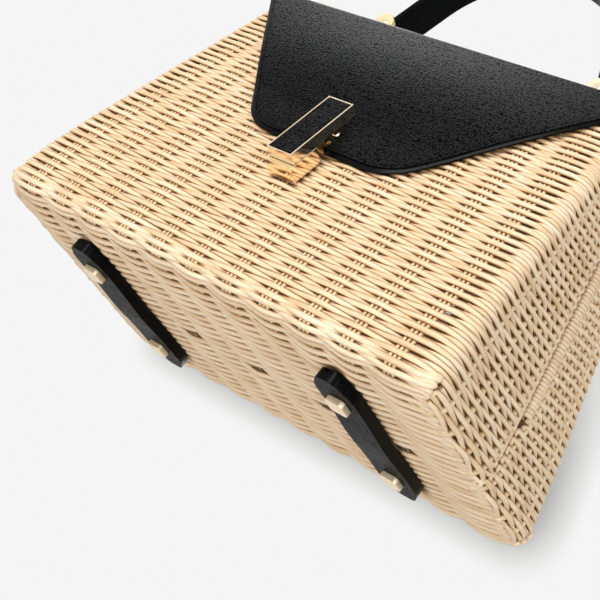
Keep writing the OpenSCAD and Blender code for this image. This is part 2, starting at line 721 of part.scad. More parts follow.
// Straps across the base and their feet
module strap(side) {
    w = strap_w / 2;
    l = strap_l / 2;
    translate([side * foot_x, 0, foot_h]) difference() {
        linear_extrude(strap_t) polygon([[w, w - l], [w, l - w], [w * 0.45, l], [-w * 0.45, l],
            [-w, l - w], [-w, w - l], [-w * 0.45, -l], [w * 0.45, -l]]);
        for (y = [-foot_y, foot_y]) translate([0, y, -1]) cylinder(h = strap_t + 2, r = hole_r);
    }
}

module left_strap() {
    color(black) strap(-1);
}

module right_strap() {
    color(black) strap(1);
}

module foot(sx, sy) {
    a = foot_w / 2;
    b = a - foot_chamfer;
    translate([sx * foot_x, sy * foot_y, 0]) difference() {
        linear_extrude(foot_h)
            polygon([[a, -b], [a, b], [b, a], [-b, a], [-a, b], [-a, -b], [-b, -a], [b, -a]]);
        translate([0, 0, foot_floor]) cylinder(h = foot_h, r = hole_r);
    }
}

module left_front_foot() {
    color(gold) foot(-1, -1);
}

module left_rear_foot() {
    color(gold) foot(-1, 1);
}

module right_front_foot() {
    color(gold) foot(1, -1);
}

module right_rear_foot() {
    color(gold) foot(1, 1);
}

module foot_screws() {
    color(steel) at_feet() translate([0, 0, foot_floor + bore_gap])
        cylinder(h = base_z + base_t + nut_h - foot_floor, d = screw_d);
}

module foot_nuts() {
    color(steel) at_feet() translate([0, 0, base_z + base_t]) difference() {
        cylinder(h = nut_h, r = nut_r, $fn = 6);
        translate([0, 0, -1]) cylinder(h = nut_h + 2, r = hole_r);
    }
}

front_weave();
rear_weave();
left_front_gusset();
left_rear_gusset();
right_front_gusset();
right_rear_gusset();
base_weave();
front_rim();
rear_rim();
left_slit_border();
right_slit_border();
flap();
flap_anchor();
anchor_rivets();
rivet_washers();
handle();
left_handle_bracket();
right_handle_bracket();
left_bracket_ears();
right_bracket_ears();
left_handle_pin();
right_handle_pin();
handle_plate();
bracket_screws();
clasp_bar();
clasp_lugs();
clasp_inlay();
clasp_post();
clasp_pin();
post_rivets();
catch_block();
catch_plate();
catch_screws();
left_strap();
right_strap();
left_front_foot();
left_rear_foot();
right_front_foot();
right_rear_foot();
foot_screws();
foot_nuts();
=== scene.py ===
import math
import random

import bmesh
import bpy
from mathutils import Matrix, Vector


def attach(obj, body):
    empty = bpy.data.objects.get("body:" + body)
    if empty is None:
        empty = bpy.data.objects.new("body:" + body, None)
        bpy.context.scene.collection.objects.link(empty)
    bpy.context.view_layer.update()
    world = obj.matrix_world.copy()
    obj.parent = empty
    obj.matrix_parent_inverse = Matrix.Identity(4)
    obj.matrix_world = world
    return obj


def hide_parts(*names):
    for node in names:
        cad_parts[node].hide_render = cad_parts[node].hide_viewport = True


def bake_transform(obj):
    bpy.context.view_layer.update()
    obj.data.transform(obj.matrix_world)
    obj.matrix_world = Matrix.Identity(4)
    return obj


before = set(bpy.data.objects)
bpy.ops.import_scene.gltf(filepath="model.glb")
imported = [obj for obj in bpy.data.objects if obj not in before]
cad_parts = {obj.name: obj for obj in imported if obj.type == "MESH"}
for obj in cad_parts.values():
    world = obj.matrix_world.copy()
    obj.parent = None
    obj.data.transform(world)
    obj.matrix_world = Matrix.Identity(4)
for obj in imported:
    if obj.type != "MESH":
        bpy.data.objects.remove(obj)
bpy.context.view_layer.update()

MM = 0.001
dice = random.Random(7)

# Sizes of the basket in millimetres, as in the part's source
BASE_W, BASE_D, BASE_Z = 306.0, 175.0, 9.2
WALL_H, RIM_H = 191.0, 4.5
LEAN, TAPER = math.radians(15.5), math.radians(8.1)
CORNER_R, BOTTOM_R = 12.0, 14.0
SLIT_H, SLIT_FOOT, SLIT_TOP, SLIT_W, BORDER_D = 35.0, 6.0, -4.0, 4.0, 7.0
SEAT, LEATHER_T = 0.3, 2.8
FLAP_Z = BASE_Z + WALL_H + RIM_H + SEAT
DECK_Z = FLAP_Z + LEATHER_T
TIP_W, TIP_S, FOLD_R = 95.0, 101.0, 1.2
REED_R, WAVE = 1.36, 1.6
FRONT_STAKES = 11

# Forms that only the scene has: a rounder tip, rounder corners near the base, an eased bottom edge
TIP_R = 34.0
CORNER_GROW, CORNER_GROW_H = 7.0, 80.0
EASE, EASE_L = 2.2, 26.0


# Colour values are written as they look on screen, and turned into linear light
def linear(c):
    return (c / 255) / 12.92 if c <= 10 else ((c / 255 + 0.055) / 1.055) ** 2.4


def tint(r, g, b):
    return tuple(linear(c) for c in (r, g, b)) + (1.0,)


# Materials

def blank_material(name):
    mat = bpy.data.materials.new(name)
    mat.use_nodes = True
    nodes = mat.node_tree.nodes
    return mat, nodes, mat.node_tree.links, nodes["Principled BSDF"]


def mapped(nodes, links, scale):
    coord = nodes.new("ShaderNodeTexCoord")
    mapping = nodes.new("ShaderNodeMapping")
    mapping.inputs["Scale"].default_value = scale
    links.new(coord.outputs["Object"], mapping.inputs["Vector"])
    return mapping.outputs["Vector"]


def ramp(nodes, links, source, stops):
    node = nodes.new("ShaderNodeValToRGB")
    node.color_ramp.elements[0].position, node.color_ramp.elements[0].color = stops[0]
    node.color_ramp.elements[1].position, node.color_ramp.elements[1].color = stops[-1]
    for position, color in stops[1:-1]:
        element = node.color_ramp.elements.new(position)
        element.color = color
    links.new(source, node.inputs["Fac"])
    return node.outputs["Color"]


def noise(nodes, links, vector, scale, detail, roughness):
    node = nodes.new("ShaderNodeTexNoise")
    node.inputs["Scale"].default_value = scale
    node.inputs["Detail"].default_value = detail
    node.inputs["Roughness"].default_value = roughness
    links.new(vector, node.inputs["Vector"])
    return node.outputs["Fac"]


def bump(nodes, links, height, strength, distance, normal=None):
    node = nodes.new("ShaderNodeBump")
    node.inputs["Strength"].default_value = strength
    node.inputs["Distance"].default_value = distance
    links.new(height, node.inputs["Height"])
    if normal is not None:
        links.new(normal, node.inputs["Normal"])
    return node.outputs["Normal"]


def math_node(nodes, links, operation, first, second, clamp=False):
    node = nodes.new("ShaderNodeMath")
    node.operation = operation
    node.use_clamp = clamp
    for socket, value in zip(node.inputs, (first, second)):
        if isinstance(value, float):
            socket.default_value = value
        else:
            links.new(value, socket)
    return node.outputs[0]


# Carries a value from one range to another
def map_range(nodes, links, source, span, result, smooth=False):
    node = nodes.new("ShaderNodeMapRange")
    if smooth:
        node.interpolation_type = "SMOOTHSTEP"
    for name, value in zip(("From Min", "From Max", "To Min", "To Max"), span + result):
        node.inputs[name].default_value = value
    links.new(source, node.inputs["Value"])
    return node.outputs["Result"]


# Painted shade between reeds: colours that the reed colour is multiplied by, from deep to open
REED_SHADE = [(0.08, tint(46, 31, 18)), (0.38, tint(228, 199, 162)), (0.72, tint(255, 254, 252))]
REED_SHADE_REACH = 0.005


def make_reed(name, pale, mid, deep, stretch):
    mat, nodes, links, shader = blank_material(name)
    rows = noise(nodes, links, mapped(nodes, links, stretch), 1.0, 3.0, 0.6)
    # The reed colour darkens where other reeds are close: painted shade in the crevices
    shade = nodes.new("ShaderNodeAmbientOcclusion")
    shade.samples = 6
    shade.inputs["Distance"].default_value = REED_SHADE_REACH
    warm = nodes.new("ShaderNodeMix")
    warm.data_type, warm.blend_type = "RGBA", "MULTIPLY"
    warm.inputs["Factor"].default_value = 1.0
    links.new(ramp(nodes, links, rows, [(0.28, deep), (0.5, mid), (0.72, pale)]), warm.inputs["A"])
    links.new(ramp(nodes, links, shade.outputs["AO"], REED_SHADE), warm.inputs["B"])
    links.new(warm.outputs["Result"], shader.inputs["Base Color"])
    fibre = noise(nodes, links, mapped(nodes, links, tuple(4.0 * v for v in stretch)), 1.0, 2.0, 0.6)
    links.new(bump(nodes, links, fibre, 0.25, 0.0004), shader.inputs["Normal"])
    shader.inputs["Roughness"].default_value = 0.5
    shader.inputs["Specular IOR Level"].default_value = 0.35
    return mat


# The leather turns gently before it reaches the fold over the top: heights and drop in metres
SOFT_FROM_Z, SOFT_TO_Z, SOFT_DROP = 0.152, 0.2075, -0.013


def soft_fold(nodes, links):
    coord = nodes.new("ShaderNodeTexCoord")
    split = nodes.new("ShaderNodeSeparateXYZ")
    links.new(coord.outputs["Object"], split.inputs[0])
    climb = map_range(nodes, links, split.outputs["Z"], (SOFT_FROM_Z, SOFT_TO_Z), (0.0, 1.0))
    fall = math_node(nodes, links, "MULTIPLY", math_node(nodes, links, "POWER", climb, 2.0), SOFT_DROP)
    return bump(nodes, links, fall, 1.0, 1.0)


def make_leather(name, dark, pebble_tone_and_sheen, grain):
    mat, nodes, links, shader = blank_material(name)
    vector = mapped(nodes, links, (0.75, 1.0, 1.1))
    cells = nodes.new("ShaderNodeTexVoronoi")
    cells.feature = "F1"
    cells.inputs["Scale"].default_value = grain
    cells.inputs["Randomness"].default_value = 0.8
    links.new(vector, cells.inputs["Vector"])
    soft = noise(nodes, links, vector, grain * 0.9, 3.0, 0.6)
    pit = cells.outputs["Distance"]
    height = math_node(nodes, links, "SUBTRACT", soft, pit)
    links.new(bump(nodes, links, height, 0.8, 0.0005, soft_fold(nodes, links)), shader.inputs["Normal"])
    # Pebble tops are lighter: partly the grain's own tone, partly a painted highlight on the pebbles
    colors = [(0.1, pebble_tone_and_sheen), (0.45, tint(18, 18, 18)), (0.7, dark)]
    links.new(ramp(nodes, links, pit, colors), shader.inputs["Base Color"])
    links.new(map_range(nodes, links, pit, (0.0, 1.0), (0.27, 0.38)), shader.inputs["Roughness"])
    shine = map_range(nodes, links, pit, (0.0, 0.75), (0.045, 0.005))
    links.new(shine, shader.inputs["Specular IOR Level"])
    return mat


def make_edge_paint(name, color):
    mat, nodes, links, shader = blank_material(name)
    vector = mapped(nodes, links, (1.0, 1.0, 1.0))
    waves = noise(nodes, links, vector, 260.0, 2.0, 0.5)
    links.new(bump(nodes, links, waves, 0.12, 0.0003), shader.inputs["Normal"])
    colors = [(0.3, color), (0.75, tint(10, 10, 11))]
    links.new(ramp(nodes, links, waves, colors), shader.inputs["Base Color"])
    shader.inputs["Roughness"].default_value = 0.2
    shader.inputs["Specular IOR Level"].default_value = 0.06
    return mat


def make_metal(name, pale, deep, roughness, brush, metallic=1.0):
    mat, nodes, links, shader = blank_material(name)
    lines = noise(nodes, links, mapped(nodes, links, brush), 1.0, 3.0, 0.6)
    links.new(ramp(nodes, links, lines, [(0.3, deep), (0.7, pale)]), shader.inputs["Base Color"])
    links.new(bump(nodes, links, lines, 0.05, 0.0002), shader.inputs["Normal"])
    shader.inputs["Metallic"].default_value = metallic
    shader.inputs["Roughness"].default_value = roughness
    return mat


REED_X = make_reed("reed", tint(250, 227, 197), tint(241, 211, 173), tint(221, 183, 138), (28, 28, 420))
REED_BASE = make_reed("base_reed", tint(249, 230, 204), tint(240, 214, 180), tint(220, 187, 145),
                      (28, 420, 60))
STAKE = make_reed("stake_reed", tint(248, 228, 194), tint(236, 208, 166), tint(218, 182, 134), (420, 420, 28))
LEATHER = make_leather("black_grain_leather", tint(3, 3, 4), tint(26, 25, 25), 1100.0)
STRAP_LEATHER = make_leather("strap_leather", tint(4, 4, 5), tint(24, 24, 24), 1150.0)
HANDLE_LEATHER = make_leather("handle_grain_leather", tint(3, 3, 4), tint(16, 16, 16), 1900.0)
EDGE = make_edge_paint("painted_edge", tint(4, 4, 5))
GOLD = make_metal("warm_gold", tint(252, 236, 208), tint(246, 224, 188), 0.1, (900, 60, 60))
PALE_GOLD = make_metal("pale_gold", tint(250, 228, 194), tint(242, 212, 168), 0.28, (60, 900, 60), 0.5)
SOFT_GOLD = make_metal("soft_gold", tint(222, 200, 164), tint(210, 184, 142), 0.5, (60, 60, 900))
STEEL = make_metal("plain_steel", tint(190, 190, 192), tint(168, 168, 170), 0.35, (60, 60, 900))


# Making pieces

def place(name, mesh, body, materials, nodes=()):
    obj = bpy.data.objects.new(name, mesh)
    bpy.context.scene.collection.objects.link(obj)
    mesh.materials.clear()
    for mat in materials:
        mesh.materials.append(mat)
    if body:
        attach(obj, body)
    if nodes:
        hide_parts(*nodes)
    return obj


def from_bmesh(name, bm, body, materials, nodes=(), smooth=True):
    bmesh.ops.recalc_face_normals(bm, faces=bm.faces[:])
    for face in bm.faces:
        face.smooth = smooth
    mesh = bpy.data.meshes.new(name)
    bmesh.ops.scale(bm, vec=(MM, MM, MM), verts=bm.verts[:])
    bm.to_mesh(mesh)
    bm.free()
    return place(name, mesh, body, materials, nodes)


def reeds(name, paths, radius, body, material, nodes=()):
    curve = bpy.data.curves.new(name + "_path", "CURVE")
    curve.dimensions = "3D"
    curve.bevel_depth = radius * MM
    curve.bevel_resolution = 1
    curve.use_fill_caps = True
    for path in paths:
        spline = curve.splines.new("POLY")
        spline.points.add(len(path) - 1)
        spline.points.foreach_set("co", [c for p in path for c in (p[0] * MM, p[1] * MM, p[2] * MM, 1.0)])
        spline.use_smooth = True
    holder = bpy.data.objects.new(name + "_path", curve)
    bpy.context.scene.collection.objects.link(holder)
    bpy.context.view_layer.update()
    mesh = bpy.data.meshes.new_from_object(holder.evaluated_get(bpy.context.evaluated_depsgraph_get()))
    bpy.data.objects.remove(holder)
    bpy.data.curves.remove(curve)
    mesh.name = name
    place(name, mesh, body, [material], nodes)


def finish_edges(obj, width, segments=3, angle=35):
    bevel = obj.modifiers.new("rounded_edges", "BEVEL")
    bevel.width = width * MM
    bevel.segments = segments
    bevel.limit_method = "ANGLE"
    bevel.angle_limit = math.radians(angle)
    bevel.harden_normals = True


def verts_of(geom):
    return [g for g in geom if isinstance(g, bmesh.types.BMVert)]


def edges_of(geom):
    return [g for g in geom if isinstance(g, bmesh.types.BMEdge)]


# Extrudes edges by one step and gives the new edges
def pull_edges(bm, edges, step):
    geom = bmesh.ops.extrude_edge_only(bm, edges=edges)["geom"]
    bmesh.ops.translate(bm, vec=step, verts=verts_of(geom))
    return edges_of(geom)


def add_box(bm, centre, size):
    made = bmesh.ops.create_cube(bm, size=1.0)["verts"]
    bmesh.ops.scale(bm, vec=size, verts=made)
    bmesh.ops.translate(bm, vec=centre, verts=made)


def bevel_upright(bm, offset, segments):
    upright = [e for e in bm.edges if abs(e.verts[0].co.z - e.verts[1].co.z) > 1]
    bmesh.ops.bevel(bm, geom=upright, offset=offset, segments=segments, profile=0.5,
                    affect="EDGES", material=-1)


def side_word(side):
    return "right" if side > 0 else "left"


def end_word(rear):
    return "rear" if rear else "front"


# The basket's outline

def inset(h):
    return 0.0 if h >= BOTTOM_R else BOTTOM_R - math.sqrt(max(0.0, BOTTOM_R ** 2 - (BOTTOM_R - h) ** 2))


def half_w(h):
    return BASE_W / 2 - h * math.tan(TAPER) - inset(h)


def half_d(h):
    return BASE_D / 2 - h * math.tan(LEAN) - inset(h)


# The front eases into the bottom edge, and the back stays full
def eased(reach, ease):
    return ease * max(0.0, 1 - max(0.0, reach) / EASE_L) ** 2


# The upright corners are rounder near the base
def corner_r(h):
    return CORNER_R + CORNER_GROW * max(0.0, 1 - h / CORNER_GROW_H) ** 2


def slit_share(h):
    return max(0.0, (h - SLIT_H) / (WALL_H - SLIT_H))


def slit_front(h):
    return SLIT_FOOT + (SLIT_TOP - SLIT_FOOT) * slit_share(h)


def slit_back(h):
    return slit_front(h) + SLIT_W * slit_share(h)


FLAP_W = 2 * (half_w(WALL_H + RIM_H) + 2.5)
MID_DEPTH = REED_R + WAVE
FLAT_W = half_w(BOTTOM_R) - corner_r(BOTTOM_R)
ROUND_STEPS, BASE_ROWS = 7, 48
WALL_ROWS, ROW_GROWTH = 78, 0.1
BORDER_GAP = 1.0
STAKE_SPREAD = 1.87
CORNER_STAKES = (1.5, 3.5)

# How far a row swings over an upright: at a corner, past the ends, on the front, next to it, on a side
CORNER_SWING, END_SWING, FRONT_SWING, NEXT_SWING, SIDE_SWING = 0.85, 0.15, 0.95, 0.65, 1.05
LOOSE_END, WAVE_POWER = 0.1, 1.3

# Unevenness of the rows, and the distance between a row's points
ROW_LIFT, ROW_JITTER, BASE_JITTER, ROW_STEP, BASE_STEPS = 0.12, 0.16, 0.14, 3.0, 8
TURN_SHARE, TURN_BULGE = 0.4, 0.35

# Base mat: reed, reach of its rows, the row left out for the openings, and how its ends rise and draw in
BASE_REED_R, BASE_INSET, EDGE_REACH = 1.56, 10.0, 3.2
OPENING_FROM_Y, OPENING_TO_Y = 6.0, 9.0
EDGE_SWING, FLAT_SWING, BASE_SINK = 0.85, 0.35, 0.25
DRAW_IN, EDGE_DRAW_IN, END_FLAT, END_RISE = 0.0025, 0.0018, 1.8, 0.018

# Uprights: bundles on the front and back, single ones elsewhere
BUNDLE, BUNDLE_PITCH, STAKE_R, SIDE_STAKE_R = 3, 2.35, 1.15, 1.75
STAKE_STEPS, STAKE_SHORT, UNDER_STEP = 22, 1.5, 4
FRONT_RUN_Y, REAR_RUN_Y = 14.0, 2.0
SIDE_FOOT_IN, SIDE_FOOT_UP = 8, 0.6

# Ends of the rows along a shell, and the short rows of the sides below them by height and number
ROW_ENDS, LOW_ENDS, LOW_CORNERS = (0.042, 4.958), (0.03, 4.97), (1.25, 3.75)
LOW_ROWS = [(4.6, -4), (7.0, -3), (9.4, -2), (11.7, -1)]


# A shell runs from the left slit round the front to the right slit, or round the back. The place q
# counts its five stretches: left side, corner, front, corner, right side
def shell_point(q, h, depth, rear):
    w, r = half_w(h), corner_r(h)
    d = half_d(h) - eased(h - BOTTOM_R, 0.0 if rear else EASE)
    if rear:
        end = -(slit_back(h) + (BORDER_D + BORDER_GAP) * min(1.0, max(0.0, (h - SLIT_H) / BORDER_D)))
    else:
        end = slit_front(h)
    if q <= 1:
        x, y = -(w - depth), end + (-(d - r) - end) * q
    elif q < 2:
        a = math.pi * (1 + (q - 1) / 2)
        x, y = -(w - r) + (r - depth) * math.cos(a), -(d - r) + (r - depth) * math.sin(a)
    elif q <= 3:
        x, y = (w - r) * (2 * (q - 2) - 1), -(d - depth)
    elif q < 4:
        a = math.pi * (1.5 + (q - 3) / 2)
        x, y = (w - r) + (r - depth) * math.cos(a), -(d - r) + (r - depth) * math.sin(a)
    else:
        x, y = w - depth, -(d - r) + (end + (d - r)) * (q - 4)
    return Vector((x, -y if rear else y, BASE_Z + h))


SHARES = [(k - (FRONT_STAKES - 1) / 2) * STAKE_SPREAD / (FRONT_STAKES - 1) for k in range(FRONT_STAKES)]
SIDE_STAKES = (0.118, 0.382, 0.645, 0.908)
STAKES = (list(SIDE_STAKES) + [CORNER_STAKES[0]] + [2.5 + 0.5 * u for u in SHARES]
          + [CORNER_STAKES[1]] + [5 - q for q in reversed(SIDE_STAKES)])


# Depth of a row between two uprights: over the one, under the other
def between(t, first, second):
    c = math.cos(math.pi * t)
    c = 0.5 + 0.5 * math.copysign(abs(c) ** WAVE_POWER, c)
    return MID_DEPTH - WAVE * (first * c + second * (1 - c))


def swing(i, k):
    q = STAKES[i] if 0 <= i < len(STAKES) else 0.0
    if q in CORNER_STAKES:
        return CORNER_SWING
    if q == 0.0:
        size = END_SWING
    elif 2 < q < 3:
        size = FRONT_SWING
    elif 0.9 < q < 4.1:
        size = NEXT_SWING
    else:
        size = SIDE_SWING
    return size if (i + k) % 2 else -size


def row_heights():
    shares = [(1 + ROW_GROWTH) * k / WALL_ROWS - ROW_GROWTH * (k / WALL_ROWS) ** 2
              for k in range(WALL_ROWS + 1)]
    return [BOTTOM_R + (WALL_H - BOTTOM_R) * share for share in shares]


# One row through the numbered uprights, between its two end places
def shell_row(h, k, first, last, start, end, rear):
    lift = dice.uniform(-ROW_LIFT, ROW_LIFT)
    stops = [start] + STAKES[first:last] + [end]
    jitter = [dice.uniform(-ROW_JITTER, ROW_JITTER) for _ in stops]
    row = []
    for n in range(len(stops) - 1):
        final = n == len(stops) - 2
        span = (shell_point(stops[n], h, 0, rear) - shell_point(stops[n + 1], h, 0, rear)).length
        steps = max(3, round(span / ROW_STEP))
        a = LOOSE_END if n == 0 else swing(first + n - 1, k)
        b = LOOSE_END if final else swing(first + n, k)
        for m in range(steps + final):
            t = m / steps
            q = stops[n] + (stops[n + 1] - stops[n]) * t
            dz = lift + jitter[n] * (1 - t) + jitter[n + 1] * t
            row.append(shell_point(q, h + dz, between(t, a, b), rear))
    return row


# Joins rows end to end, some to each reed, with turns pushed outwards
def serpentine(rows, length, push):
    chains = []
    for start in range(0, len(rows), length):
        chain = []
        for k, row in enumerate(rows[start:start + length]):
            line = row if k % 2 == 0 else row[::-1]
            if chain:
                outward = (chain[-1] - chain[-2]).normalized()
                turn = (chain[-1] + line[0]) / 2 + outward * push
                bulge = outward * push * TURN_BULGE
                chain.append((chain[-1] * (1 - TURN_SHARE) + turn * TURN_SHARE) + bulge)
                chain.append(turn)
                chain.append((line[0] * (1 - TURN_SHARE) + turn * TURN_SHARE) + bulge)
            chain.extend(line)
        chains.append(chain)
    return chains


# Sections of the base from the foot of the front wall to the foot of the back wall:
# place of the outer face and the direction into the mat
def edge_line(ease):
    line = []
    for k in range(1, ROUND_STEPS):
        a = math.pi / 2 * (1 - k / ROUND_STEPS)
        h = BOTTOM_R * (1 - math.cos(a))
        d = BASE_D / 2 - h * math.tan(LEAN) - BOTTOM_R * (1 - math.sin(a)) - ease
        line.append((-d, BASE_Z + h + ease * math.cos(a), math.sin(a), math.cos(a)))
    return line


def flat_line(ease):
    edge = BASE_D / 2 - BOTTOM_R
    across = [edge * (2 * k / BASE_ROWS - 1) for k in range(BASE_ROWS + 1)]
    return [(y, BASE_Z + eased(edge + y, ease), 0.0, 1.0) for y in across]


def base_row(section, k, reach):
    y, z, ny, nz = section
    lift = dice.uniform(-ROW_LIFT, ROW_LIFT)
    stops = [-reach] + [u * FLAT_W for u in SHARES] + [reach]
    jitter = [dice.uniform(-BASE_JITTER, BASE_JITTER) for _ in stops]
    size = EDGE_SWING + FLAT_SWING * nz
    draw_in = DRAW_IN + EDGE_DRAW_IN * abs(ny)
    row = []
    for n in range(len(stops) - 1):
        final = n == len(stops) - 2
        a = LOOSE_END if n == 0 else size * swing(n + 4, k)
        b = LOOSE_END if final else size * swing(n + 5, k)
        for m in range(BASE_STEPS + final):
            t = m / BASE_STEPS
            x = stops[n] + (stops[n + 1] - stops[n]) * t
            depth = between(t, a, b) + BASE_SINK * WAVE
            out = max(0.0, abs(x) - FLAT_W - END_FLAT)
            dy = (lift + jitter[n] * (1 - t) + jitter[n + 1] * t) * nz
            across = (y + ny * depth) * (1 - draw_in * out) + dy
            row.append(Vector((x, across, z + nz * depth + END_RISE * out * out)))
    return row


# Points of an upright from the bottom edge to the rim
def upright_points(q, rear):
    rise = WALL_H + RIM_H - STAKE_SHORT - BOTTOM_R
    heights = [BOTTOM_R + rise * k / STAKE_STEPS for k in range(STAKE_STEPS + 1)]
    return [shell_point(q, h, MID_DEPTH, rear) for h in heights]


# A bundle of the front or back starts under the base
def stake_bundle(q, rear):
    ease = 0.0 if rear else EASE
    under = [c for c in flat_line(ease) if c[0] < (REAR_RUN_Y if rear else FRONT_RUN_Y)][::UNDER_STEP]
    x = (2 * (q - 2) - 1) * FLAT_W
    paths = []
    for n in range(BUNDLE):
        shift = (n - (BUNDLE - 1) / 2) * BUNDLE_PITCH
        path = []
        for y, z, ny, nz in under[::-1] + edge_line(ease)[::-1]:
            y += ny * MID_DEPTH
            path.append(Vector((x + shift, -y if rear else y, z + nz * MID_DEPTH)))
        for p in upright_points(q, rear):
            p.x += shift
            path.append(p)
        paths.append(path)
    return paths


# A single upright of a side starts under the base too, and one at a corner does not
def single_stake(q, rear):
    path = []
    if q not in CORNER_STAKES:
        foot = shell_point(q, BOTTOM_R, 0, rear)
        side = 1 if foot.x > 0 else -1
        inner = side * (BASE_W / 2 - BOTTOM_R - SIDE_FOOT_IN)
        path.append(Vector((inner, foot.y, BASE_Z + MID_DEPTH + SIDE_FOOT_UP)))
        for deg in (15, 35, 55, 75):
            a = math.radians(deg)
            h = BOTTOM_R * (1 - math.cos(a))
            x = BASE_W / 2 - h * math.tan(TAPER) - BOTTOM_R * (1 - math.sin(a)) - MID_DEPTH * math.sin(a)
            path.append(Vector((side * x, foot.y, BASE_Z + h + MID_DEPTH * math.cos(a))))
    return path + upright_points(q, rear)


def build_shell(rear):
    side = end_word(rear)
    last = len(STAKES)
    rows = [shell_row(h, k, 0, last, *ROW_ENDS, rear) for k, h in enumerate(row_heights())]
    chains = serpentine(rows, 6, 0.9)
    low = [shell_row(h, k, 0, 4, LOW_ENDS[0], LOW_CORNERS[0], rear) for h, k in LOW_ROWS]
    chains += serpentine(low, 4, 1.2)
    low = [shell_row(h, k, last - 4, last, LOW_CORNERS[1], LOW_ENDS[1], rear) for h, k in LOW_ROWS]
    chains += serpentine(low, 4, 1.2)
    reeds(side + "_reeds", chains, REED_R, "basket", REED_X,
          (side + "_weave", "left_%s_gusset" % side, "right_%s_gusset" % side))
    bundles = [path for q in STAKES if 2 < q < 3 for path in stake_bundle(q, rear)]
    reeds(side + "_stakes", bundles, STAKE_R, "basket", STAKE)
    single = [single_stake(q, rear) for q in STAKES if not 2 < q < 3]
    reeds(side + "_side_stakes", single, SIDE_STAKE_R, "basket", STAKE)


def build_base():
    rows = []
    back = [(-y, z, -ny, nz) for y, z, ny, nz in reversed(edge_line(0.0))]
    for k, section in enumerate(edge_line(EASE) + flat_line(EASE) + back):
        if not OPENING_FROM_Y < section[0] < OPENING_TO_Y:
            rows.append(base_row(section, -1 - k, BASE_W / 2 - BASE_INSET + EDGE_REACH * abs(section[2])))
    reeds("base_reeds", serpentine(rows, 6, 1.7), BASE_REED_R, "basket", REED_BASE, ("base_weave",))


# Reed wound round the slit's back border, and the rod along its front edge
WRAP_PITCH, WRAP_STEPS, WRAP_R = 2.1, 12, 1.35
WRAP_END, WRAP_WIDEN, WRAP_BACK, WRAP_IN = 1.0, 1.05, 1.6, 0.3
ROD_STEPS, ROD_LOW, ROD_SHORT, ROD_IN = 12, 3.0, 4.0, 1.7


def build_slit(side):
    line = []
    count = int((WALL_H - SLIT_H - BORDER_D) / WRAP_PITCH) * WRAP_STEPS
    for k in range(count + 1):
        a = 2 * math.pi * k / WRAP_STEPS
        h = SLIT_H + BORDER_D + WRAP_END + (WALL_H - SLIT_H - BORDER_D - 2 * WRAP_END) * k / count
        x = half_w(h) - MID_DEPTH + (MID_DEPTH - REED_R) * math.cos(a) * WRAP_WIDEN
        y = slit_back(h) + BORDER_D / 2 + WRAP_BACK + (BORDER_D / 2 - WRAP_IN) * math.sin(a)
        line.append(Vector((side * x, y, BASE_Z + h)))
    word = side_word(side)
    heights = [ROD_LOW + (WALL_H - ROD_SHORT) * k / ROD_STEPS for k in range(ROD_STEPS + 1)]
    edge = [shell_point(0.0, h, MID_DEPTH, False) for h in heights]
    edge = [Vector((-side * p.x, p.y - ROD_IN, p.z)) for p in edge]
    reeds(word + "_slit_wrap", [line, edge], WRAP_R, "basket", REED_X, (word + "_slit_border",))


# Top border: three rods by height and depth, and the loops wound round them
RIM_RODS, RIM_REED_R, RIM_UP = ((0.0, 1.4), (0.0, 4.8), (2.3, 3.1)), 1.0, 1.0
RIM_STEPS, RIM_LOOPS, LOOP_STEPS, LOOP_LEAN = 60, 150, 8, 0.012
LOOP_UP, LOOP_RISE, LOOP_DEPTH, LOOP_REACH = 1.6, 1.9, 3.1, 2.6


def build_rim(rear):
    side = end_word(rear)
    paths = []
    for up, depth in RIM_RODS:
        places = [5 * k / RIM_STEPS for k in range(RIM_STEPS + 1)]
        paths.append([shell_point(q, WALL_H + RIM_UP + up, depth, rear) for q in places])
    for k in range(RIM_LOOPS):
        q = 5 * (k + 0.5) / RIM_LOOPS
        loop = []
        for n in range(LOOP_STEPS + 1):
            a = 2 * math.pi * n / LOOP_STEPS
            h = WALL_H + LOOP_UP + LOOP_RISE * math.cos(a)
            depth = LOOP_DEPTH + LOOP_REACH * math.sin(a)
            loop.append(shell_point(q + LOOP_LEAN * n / LOOP_STEPS, h, depth, rear))
        paths.append(loop)
    reeds(side + "_rim_wrap", paths, RIM_REED_R, "basket", REED_X, (side + "_rim",))


build_shell(False)
build_shell(True)
build_base()
build_slit(1)
build_slit(-1)
build_rim(False)
build_rim(True)


# Leather flap

def on_slope(x, s, n, rear=False):
    y = -BASE_D / 2 + s * math.sin(LEAN) - n * math.cos(LEAN)
    return Vector((x, -y if rear else y, BASE_Z + s * math.cos(LEAN) + n * math.sin(LEAN)))


def slope_s(z, n):
    return (z - BASE_Z - n * math.sin(LEAN)) / math.cos(LEAN)


FOLD_N = SEAT - FOLD_R
FOLD_Z = FLAP_Z - FOLD_R
FOLD_S = slope_s(FOLD_Z, FOLD_N)
FOLD_Y = on_slope(0, FOLD_S, FOLD_N).y
HINGE_N = SEAT + LEATHER_T / 2
HINGE_Z = FLAP_Z + LEATHER_T / 2
HINGE_S = slope_s(HINGE_Z, HINGE_N)
HINGE_Y = on_slope(0, HINGE_S, HINGE_N, True).y
MID_R = FOLD_R + LEATHER_T / 2
LEAF_L = FOLD_S - TIP_S
FOLD_L = MID_R * (math.pi / 2 - LEAN)


def bend_flap(x, t):
    if t <= LEAF_L:
        return on_slope(x, TIP_S + t, HINGE_N)
    if t <= LEAF_L + FOLD_L:
        a = math.pi - LEAN - (t - LEAF_L) / MID_R
        return Vector((x, FOLD_Y + MID_R * math.cos(a), FOLD_Z + MID_R * math.sin(a)))
    return Vector((x, FOLD_Y + t - LEAF_L - FOLD_L, HINGE_Z))


